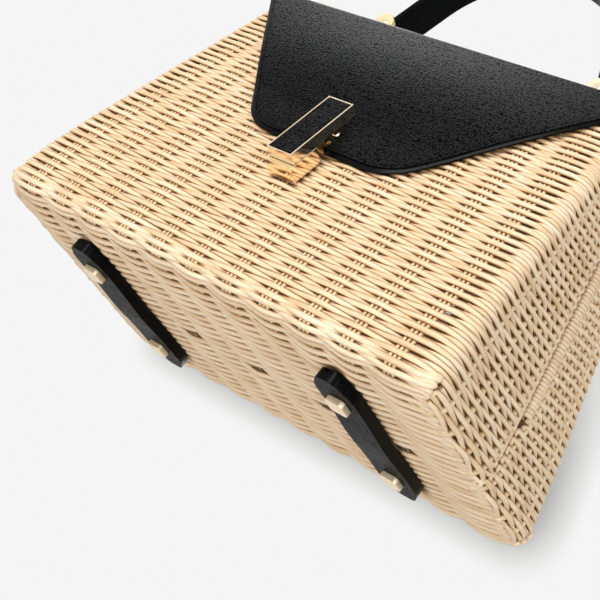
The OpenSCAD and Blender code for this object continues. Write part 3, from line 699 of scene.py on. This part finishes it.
def arc(x, y, r, a0, a1, n):
    angles = [a0 + (a1 - a0) * k / n for k in range(n + 1)]
    return [(x + r * math.cos(a), y + r * math.sin(a)) for a in angles]


def sheet_face(outline):
    bm = bmesh.new()
    bm.faces.new([bm.verts.new((x, y, 0)) for x, y in outline])
    return bm


# Insets a sheet step by step into a groove along its edge, whose faces are painted
def crease(bm, steps, depth):
    faces = bm.faces[:]
    for k, (width, drop) in enumerate(steps):
        made = bmesh.ops.inset_region(bm, faces=faces, thickness=width, depth=drop * depth,
                                      use_even_offset=True, use_boundary=True)
        for face in made["faces"]:
            face.material_index = 1 if k >= GROOVE_STEP else 0


def slice_sheet(bm, xs, ys):
    planes = [((x, 0, 0), (1, 0, 0)) for x in xs] + [((0, y, 0), (0, 1, 0)) for y in ys]
    for spot, normal in planes:
        geom = bm.verts[:] + bm.edges[:] + bm.faces[:]
        bmesh.ops.bisect_plane(bm, geom=geom, plane_co=spot, plane_no=normal)


def thicken(obj, thickness):
    solid = obj.modifiers.new("thickness", "SOLIDIFY")
    solid.thickness = thickness * MM
    solid.offset = 0.0
    solid.use_even_offset = True
    solid.material_offset_rim = 1


# Width and drop of each step of the groove, and the first step that is painted
CREASE = [(1.4, 0.0), (1.6, 0.0), (0.7, -1.0), (0.5, 0.0), (0.7, 1.0)]
CREASE_DEPTH, GROOVE_STEP = 1.0, 2

# The flap is fuller in its middle, from a little above its tip
PUFF, PUFF_FROM = 2.2, 24.0
SHEET_XS = range(-120, 121, 12)
ANCHOR_L, ANCHOR_R = 38.0, 12.0
STRIP_L, STRIP_T, STRIP_GAP, STRIP_IN, STRIP_STEPS = 7.0, 0.6, 0.25, 0.6, 20


def build_flap():
    beta = math.atan((FLAP_W - TIP_W) / 2 / LEAF_L)
    tip_x = TIP_W / 2 + TIP_R * math.tan(beta) - TIP_R / math.cos(beta)
    total = LEAF_L + FOLD_L + (HINGE_Y - FOLD_Y)
    half = arc(tip_x, TIP_R, TIP_R, -math.pi / 2, -beta, 14)
    half += [(FLAP_W / 2, LEAF_L), (FLAP_W / 2, total)]
    outline = half + [(-x, y) for x, y in reversed(half)]
    bm = sheet_face(outline)
    crease(bm, CREASE, CREASE_DEPTH)
    leaf_cuts = [8 * k for k in range(1, int(LEAF_L // 8))]
    fold_cuts = [LEAF_L + FOLD_L * k / 8 for k in range(9)]
    top_cuts = [LEAF_L + FOLD_L + 10 * k for k in range(1, 7)]
    slice_sheet(bm, SHEET_XS, leaf_cuts + fold_cuts + top_cuts)
    for vert in bm.verts:
        x, t, drop = vert.co
        base = bend_flap(x, t)
        ahead, behind = bend_flap(x, t + 0.05), bend_flap(x, t - 0.05)
        normal = Vector((1, 0, 0)).cross(ahead - behind).normalized()
        puff = 0.0
        if PUFF_FROM < t < LEAF_L:
            puff = PUFF * math.sin(math.pi * (t - PUFF_FROM) / (LEAF_L - PUFF_FROM))
        vert.co = base + normal * (drop + puff * max(0.0, 1 - (2 * x / FLAP_W) ** 2))
    obj = from_bmesh("flap_leather", bm, "flap", [LEATHER, EDGE], ("flap",))
    thicken(obj, LEATHER_T)
    finish_edges(obj, 1.1)


def build_anchor():
    top = HINGE_S - LEATHER_T / 2 - SEAT
    low = top - ANCHOR_L
    r = ANCHOR_R
    outline = arc(FLAP_W / 2 - r, low + r, r, -math.pi / 2, 0, 10) + [(FLAP_W / 2, top), (-FLAP_W / 2, top)]
    outline += arc(r - FLAP_W / 2, low + r, r, math.pi, 1.5 * math.pi, 10)
    bm = sheet_face(outline)
    crease(bm, CREASE, CREASE_DEPTH)
    slice_sheet(bm, SHEET_XS, [low + 8 * k for k in range(1, 5)])
    for vert in bm.verts:
        x, s, drop = vert.co
        vert.co = on_slope(x, s, HINGE_N + drop, True)
    obj = from_bmesh("back_leather", bm, "basket", [LEATHER, EDGE], ("flap_anchor",))
    thicken(obj, LEATHER_T)
    finish_edges(obj, 0.7)


def build_hinge_strip():
    r = LEATHER_T / 2 + STRIP_GAP
    points = [Vector((0, HINGE_Y - d, HINGE_Z + r)) for d in (STRIP_L, STRIP_L / 2)]
    for k in range(9):
        a = math.pi / 2 - (math.pi / 2 - LEAN) * k / 8
        points.append(Vector((0, HINGE_Y + r * math.cos(a), HINGE_Z + r * math.sin(a))))
    points += [on_slope(0, HINGE_S - d, HINGE_N + r, True) for d in (STRIP_L / 2, STRIP_L)]
    bm = bmesh.new()
    verts = [bm.verts.new(p + Vector((-FLAP_W / 2 + STRIP_IN, 0, 0))) for p in points]
    edges = [bm.edges.new((verts[k], verts[k + 1])) for k in range(len(verts) - 1)]
    width = FLAP_W - 2 * STRIP_IN
    for _ in range(STRIP_STEPS):
        edges = pull_edges(bm, edges, (width / STRIP_STEPS, 0, 0))
    obj = from_bmesh("hinge_leather", bm, None, [LEATHER, EDGE])
    thicken(obj, STRIP_T)
    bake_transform(obj)


build_flap()
build_anchor()
build_hinge_strip()


# Handle

PIN_X, PIN_Z, HANDLE_Y = 74.0, DECK_Z + 21.0, 11.12
BAND_W, BAND_T, ARCH_R, LEG = 22.0, 5.0, 65.0, math.radians(21.0)
LEG_L = (PIN_X - ARCH_R * math.cos(LEG)) / math.sin(LEG)
ARCH_Z = PIN_Z + LEG_L * math.cos(LEG) - ARCH_R * math.sin(LEG)
LEG_STEPS, ARCH_STEPS, PIN_SIDES = 4, 40, 32
HANDLE_LOOP_R, PIN_R, PIN_PAST = 5.6, 2.4, 1.2
EAR_W, EAR_T, PLATE_L, PLATE_T = 12.0, 3.5, 26.0, 3.0


# A round along the handle's pin on one side
def add_round(bm, side, radius, depth):
    spot = Matrix.Translation((side * PIN_X, HANDLE_Y, PIN_Z)) @ Matrix.Rotation(math.pi / 2, 4, "X")
    made = bmesh.ops.create_cone(bm, cap_ends=True, segments=PIN_SIDES, radius1=radius, radius2=radius,
                                 depth=depth, matrix=spot)
    return made["verts"]


def build_handle():
    bm = bmesh.new()
    a, b = BAND_T / 2, BAND_W / 2
    corners = [bm.verts.new((x, y, 0)) for x, y in ((a, -b), (a, b), (-a, b), (-a, -b))]
    for k in range(4):
        bm.edges.new((corners[k], corners[(k + 1) % 4]))
    bmesh.ops.bevel(bm, geom=corners, offset=1.5, segments=4, profile=0.5, affect="VERTICES", material=-1)
    ring = bm.edges[:]
    turn = Matrix.Translation((PIN_X, HANDLE_Y, PIN_Z)) @ Matrix.Rotation(-LEG, 4, "Y")
    bmesh.ops.transform(bm, matrix=turn, verts=bm.verts[:])
    for _ in range(LEG_STEPS):
        ring = pull_edges(bm, ring, Vector((-math.sin(LEG), 0, math.cos(LEG))) * (LEG_L / LEG_STEPS))
    loop = ring + list({v for e in ring for v in e.verts})
    arch = bmesh.ops.spin(bm, geom=loop, cent=(0, HANDLE_Y, ARCH_Z), axis=(0, -1, 0),
                          angle=math.pi - 2 * LEG, steps=ARCH_STEPS)
    ring = edges_of(arch["geom_last"])
    for _ in range(LEG_STEPS):
        ring = pull_edges(bm, ring, Vector((-math.sin(LEG), 0, -math.cos(LEG))) * (LEG_L / LEG_STEPS))
    bmesh.ops.holes_fill(bm, edges=[e for e in bm.edges if e.is_boundary], sides=0)
    for side in (-1, 1):
        rims = [e for v in add_round(bm, side, HANDLE_LOOP_R, BAND_W) for e in v.link_edges
                if len(e.link_faces) == 2 and abs(e.verts[0].co.y - e.verts[1].co.y) < 0.01]
        bmesh.ops.bevel(bm, geom=list(set(rims)), offset=1.2, segments=3, profile=0.5,
                        affect="EDGES", material=-1)
    for face in bm.faces:
        face.normal_update()
        face.material_index = 1 if abs(face.normal.y) > 0.35 else 0
    from_bmesh("handle_leather", bm, "flap", [HANDLE_LEATHER, EDGE], ("handle",))


build_handle()


def build_bracket(side):
    word = side_word(side)
    width = BAND_W + 2 * (SEAT + EAR_T)
    bm = bmesh.new()
    add_box(bm, (side * PIN_X, HANDLE_Y, DECK_Z + PLATE_T / 2), (PLATE_L, width, PLATE_T))
    a = EAR_W / 2
    b = a * math.tan(math.radians(22.5))
    foot = DECK_Z + PLATE_T
    outline = [(-a, foot), (a, foot), (a, PIN_Z + b), (b, PIN_Z + a), (-b, PIN_Z + a), (-a, PIN_Z + b)]
    for y in (HANDLE_Y - width / 2, HANDLE_Y + width / 2 - EAR_T):
        face = bm.faces.new([bm.verts.new((side * PIN_X + x, y, z)) for x, z in outline])
        geom = bmesh.ops.extrude_face_region(bm, geom=[face])["geom"]
        bmesh.ops.translate(bm, vec=(0, EAR_T, 0), verts=verts_of(geom))
    obj = from_bmesh(word + "_bracket", bm, "flap", [SOFT_GOLD],
                     (word + "_handle_bracket", word + "_bracket_ears"), False)
    finish_edges(obj, 0.35, 2)
    pin = bmesh.new()
    add_round(pin, side, PIN_R, width + PIN_PAST)
    obj = from_bmesh(word + "_pin", pin, "flap", [GOLD], (word + "_handle_pin",), False)
    finish_edges(obj, 0.35, 2)


build_bracket(-1)
build_bracket(1)


# Clasp

SLOPE = Matrix.Translation((0, -BASE_D / 2, BASE_Z)) @ Matrix.Rotation(math.pi / 2 - LEAN, 4, "X")
BAR_W, BAR_TOP, BAR_L, BAR_T, BAR_S, BLOCK_H, BLOCK_L = 18.0, 16.6, 46.5, 6.2, 78.0, 9.2, 19.0
BAR_N = BLOCK_H + SEAT
BAR_PIN_S, BAR_PIN_N = TIP_S + 3.2, BAR_N - 2.2 - SEAT
FRAME_W, RECESS, INLAY_IN, INLAY_UP, BLOCK_PAST = 0.75, 1.2, 1.0, 0.15, 2.4
LUG_X, LUG_HALF_W, LUG_HALF_L, LUG_DOWN, LUG_UP = 5.26, 1.0, 2.1, 2.0, 0.3


# A box on the front's slope by its limits across, up the slope and out of it
def slope_box(bm, x0, x1, s0, s1, n0, n1):
    add_box(bm, ((x0 + x1) / 2, (s0 + s1) / 2, (n0 + n1) / 2), (x1 - x0, s1 - s0, n1 - n0))


def build_clasp():
    bm = bmesh.new()
    slope_box(bm, -BAR_W / 2, BAR_W / 2, BAR_S, BAR_S + BAR_L, BAR_N, BAR_N + BAR_T)
    top = max(bm.faces, key=lambda f: f.calc_center_median().z)
    bmesh.ops.scale(bm, vec=(BAR_TOP / BAR_W, 1, 1), verts=list(top.verts))
    bmesh.ops.inset_region(bm, faces=[top], thickness=FRAME_W, depth=0.0, use_even_offset=True)
    bmesh.ops.inset_region(bm, faces=[top], thickness=0.05, depth=-RECESS, use_even_offset=True)
    for side in (-1, 1):
        slope_box(bm, side * LUG_X - LUG_HALF_W, side * LUG_X + LUG_HALF_W,
                  BAR_PIN_S - LUG_HALF_L, BAR_PIN_S + LUG_HALF_L, BAR_PIN_N - LUG_DOWN, BAR_N + LUG_UP)
    bmesh.ops.transform(bm, matrix=SLOPE, verts=bm.verts[:])
    obj = from_bmesh("clasp_frame", bm, "clasp", [GOLD], ("clasp_bar", "clasp_lugs"), False)
    finish_edges(obj, 0.22, 2)

    bm = bmesh.new()
    slope_box(bm, -BAR_TOP / 2 + INLAY_IN, BAR_TOP / 2 - INLAY_IN, BAR_S + INLAY_IN, BAR_S + BAR_L - INLAY_IN,
              BAR_N + BAR_T - RECESS, BAR_N + BAR_T + INLAY_UP)
    bevel_upright(bm, 0.9, 4)
    bmesh.ops.transform(bm, matrix=SLOPE, verts=bm.verts[:])
    obj = from_bmesh("clasp_leather", bm, "clasp", [STRAP_LEATHER], ("clasp_inlay",), False)
    finish_edges(obj, 0.3, 3)

    bm = bmesh.new()
    block_s = BAR_S - BLOCK_PAST
    slope_box(bm, -BAR_W / 2, BAR_W / 2, block_s, block_s + BLOCK_L, 0.0, BLOCK_H)
    bmesh.ops.transform(bm, matrix=SLOPE, verts=bm.verts[:])
    obj = from_bmesh("catch_gold", bm, "basket", [GOLD], ("catch_block",), False)
    finish_edges(obj, 0.25, 2)


build_clasp()


# Straps and feet

FOOT_X, FOOT_Y, FOOT_W, FOOT_H = 88.43, 37.98, 10.8, 3.2
STRAP_W, STRAP_L, STRAP_T = 24.0, 117.95, 6.0
STRAP_END, STRAP_BOW, BOW_L = 0.45, 0.9, 60.0
STRAP_CREASE, STRAP_GROOVE = [(1.2, 0.0), (1.6, 0.0), (0.35, -1.0), (0.3, 0.0), (0.35, 1.0)], 0.45


def build_strap(side):
    word = side_word(side)
    w, end = STRAP_W / 2, STRAP_L / 2
    tip = w * STRAP_END
    outline = [(w, w - end), (w, end - w), (tip, end), (-tip, end), (-w, end - w), (-w, w - end)]
    outline += [(-tip, -end), (tip, -end)]
    bm = sheet_face(outline)
    bmesh.ops.bevel(bm, geom=bm.verts[:], offset=3.0, segments=4, profile=0.5, affect="VERTICES", material=-1)
    crease(bm, STRAP_CREASE, STRAP_GROOVE)
    slice_sheet(bm, [-6, 0, 6], [6 * k for k in range(-5, 6)])
    for vert in bm.verts:
        if abs(vert.co.y) < BOW_L / 2:
            vert.co.z += STRAP_BOW * math.cos(math.pi * vert.co.y / BOW_L) ** 2
    bmesh.ops.rotate(bm, cent=(0, 0, 0), matrix=Matrix.Rotation(math.pi, 3, "Y"), verts=bm.verts[:])
    bmesh.ops.translate(bm, vec=(side * FOOT_X, 0, FOOT_H + STRAP_T / 2), verts=bm.verts[:])
    obj = from_bmesh(word + "_strap_leather", bm, "basket", [STRAP_LEATHER, EDGE],
                     (word + "_strap",))
    thicken(obj, STRAP_T)
    finish_edges(obj, 1.0)


def build_foot(sx, sy):
    word = side_word(sx) + "_" + end_word(sy > 0)
    bm = bmesh.new()
    add_box(bm, (sx * FOOT_X, sy * FOOT_Y, FOOT_H / 2), (FOOT_W, FOOT_W, FOOT_H))
    bevel_upright(bm, 1.5, 1)
    obj = from_bmesh(word + "_foot_gold", bm, "basket", [PALE_GOLD], (word + "_foot",), False)
    finish_edges(obj, 0.3, 2, 25)


for sx in (-1, 1):
    build_strap(sx)
    for sy in (-1, 1):
        build_foot(sx, sy)


# Finishes of the pieces that keep their own solids

for name, mat in (("anchor_rivets", GOLD), ("clasp_post", GOLD), ("clasp_pin", GOLD), ("post_rivets", GOLD),
                  ("rivet_washers", STEEL), ("handle_plate", STEEL), ("bracket_screws", STEEL),
                  ("catch_plate", STEEL), ("catch_screws", STEEL), ("foot_screws", STEEL),
                  ("foot_nuts", STEEL)):
    solid = bpy.data.objects[name]
    solid.data.materials.clear()
    solid.data.materials.append(mat)


# Floor, light and camera

# The paper that the bag lies on: its grey, its painted shadow near the bag, and where it fades out, in metres
PAPER = (0.915, 0.915, 0.915, 1.0)
FLOOR_SHADE = [(0.3, (0.4, 0.395, 0.39, 1.0)), (0.8, (0.77, 0.766, 0.762, 1.0)), (0.97, PAPER)]
SHADE_REACH, FLOOR_SIZE, FLOOR_GAP = 0.022, 4000.0, 5.2
FADE_Z, FADE_REACH = (0.04, 0.17), (0.22, 0.42)


def build_floor():
    out = Vector((0, math.cos(LEAN), math.sin(LEAN)))
    centre = Vector((0, BASE_D / 2, BASE_Z)) + out * FLOOR_GAP
    bm = bmesh.new()
    bmesh.ops.create_grid(bm, x_segments=1, y_segments=1, size=FLOOR_SIZE)
    tilt = Vector((0, 0, 1)).rotation_difference(-out).to_matrix()
    bmesh.ops.rotate(bm, cent=(0, 0, 0), matrix=tilt, verts=bm.verts[:])
    bmesh.ops.translate(bm, vec=centre, verts=bm.verts[:])
    bmesh.ops.scale(bm, vec=(MM, MM, MM), verts=bm.verts[:])
    mesh = bpy.data.meshes.new("floor")
    bm.to_mesh(mesh)
    bm.free()
    floor = bpy.data.objects.new("floor", mesh)
    bpy.context.scene.collection.objects.link(floor)
    mat, nodes, links, shader = blank_material("pale_floor")
    nodes.remove(shader)
    glow = nodes.new("ShaderNodeEmission")
    # Near the bag the floor's glow darkens: a painted contact shadow
    close = nodes.new("ShaderNodeAmbientOcclusion")
    close.inputs["Distance"].default_value = SHADE_REACH
    links.new(ramp(nodes, links, close.outputs["AO"], FLOOR_SHADE), glow.inputs["Color"])
    clear = nodes.new("ShaderNodeBsdfTransparent")
    seen = nodes.new("ShaderNodeLightPath").outputs["Is Camera Ray"]
    behind = nodes.new("ShaderNodeNewGeometry").outputs["Backfacing"]
    front = math_node(nodes, links, "SUBTRACT", seen, behind, True)
    spot = nodes.new("ShaderNodeTexCoord").outputs["Object"]
    split = nodes.new("ShaderNodeSeparateXYZ")
    links.new(spot, split.inputs[0])
    fade = map_range(nodes, links, split.outputs["Z"], FADE_Z, (1.0, 0.0), True)
    reach = nodes.new("ShaderNodeVectorMath")
    reach.operation = "DISTANCE"
    links.new(spot, reach.inputs[0])
    reach.inputs[1].default_value = (0.0, BASE_D / 2 * MM, 0.0)
    near = map_range(nodes, links, reach.outputs["Value"], FADE_REACH, (1.0, 0.0), True)
    part = math_node(nodes, links, "MULTIPLY", front, math_node(nodes, links, "MULTIPLY", fade, near))
    mix = nodes.new("ShaderNodeMixShader")
    links.new(part, mix.inputs[0])
    links.new(clear.outputs[0], mix.inputs[1])
    links.new(glow.outputs[0], mix.inputs[2])
    links.new(mix.outputs[0], nodes["Material Output"].inputs["Surface"])
    mesh.materials.append(mat)


def area_light(name, spot, target, size, power, color=(1.0, 1.0, 1.0)):
    data = bpy.data.lights.new(name, "AREA")
    data.shape = "DISK"
    data.size = size
    data.energy = power
    data.color = color
    lamp = bpy.data.objects.new(name, data)
    lamp.location = spot
    lamp.rotation_euler = (Vector(target) - Vector(spot)).to_track_quat("-Z", "Y").to_euler()
    bpy.context.scene.collection.objects.link(lamp)


build_floor()
area_light("softbox", (-0.2, -1.4, 0.65), (0, 0, 0.1), 0.9, 16.0)
area_light("sheen_light", (-0.9, 0.4, 1.3), (0, 0, 0.18), 0.7, 8.0)
area_light("side_fill", (1.3, -0.6, 0.2), (0, 0, 0.1), 1.5, 15.0, (0.78, 0.89, 1.0))
area_light("back_fill", (-0.6, 1.2, 0.9), (0, 0, 0.12), 1.0, 9.0)
area_light("low_fill", (0.1, -0.8, -1.0), (0, 0, 0.05), 1.2, 10.0)

# The world shows paper to the camera and in reflections, and lights the bag as a soft sky
world = bpy.data.worlds.new("studio")
bpy.context.scene.world = world
world.use_nodes = True
nodes, links = world.node_tree.nodes, world.node_tree.links
sky = nodes["Background"]
sky.inputs["Color"].default_value = (0.94, 0.95, 0.96, 1.0)
sky.inputs["Strength"].default_value = 0.3
paper = nodes.new("ShaderNodeBackground")
paper.inputs["Color"].default_value = PAPER
rays = nodes.new("ShaderNodeLightPath").outputs
mirrored = math_node(nodes, links, "MAXIMUM", rays["Is Glossy Ray"], rays["Is Transmission Ray"])
mix = nodes.new("ShaderNodeMixShader")
links.new(math_node(nodes, links, "MAXIMUM", rays["Is Camera Ray"], mirrored), mix.inputs[0])
links.new(sky.outputs[0], mix.inputs[1])
links.new(paper.outputs[0], mix.inputs[2])
links.new(mix.outputs[0], nodes["World Output"].inputs["Surface"])

# Camera fitted to the photo: its width and focal length in pixels, its place in millimetres
PHOTO_W, PHOTO_FOCAL, SENSOR_W = 600, 1419.9, 36.0
CAMERA_SPOT = Vector((451.064, -556.639, -139.798))
CAMERA_FORWARD = Vector((-0.60606929, 0.75177498, 0.25983533))
CAMERA_UP = Vector((-0.35049608, -0.54565467, 0.76119214))

lens = bpy.data.cameras.new("photo_lens")
lens.sensor_width = SENSOR_W
lens.lens = PHOTO_FOCAL / PHOTO_W * SENSOR_W
lens.clip_end = 50.0
camera = bpy.data.objects.new("photo_camera", lens)
forward = CAMERA_FORWARD.normalized()
right = forward.cross(CAMERA_UP).normalized()
up = right.cross(forward).normalized()
turn = Matrix((right, up, -forward)).transposed().to_4x4()
camera.matrix_world = Matrix.Translation(CAMERA_SPOT * MM) @ turn
bpy.context.scene.collection.objects.link(camera)
bpy.context.scene.camera = camera
bpy.context.scene.view_settings.view_transform = "Standard"
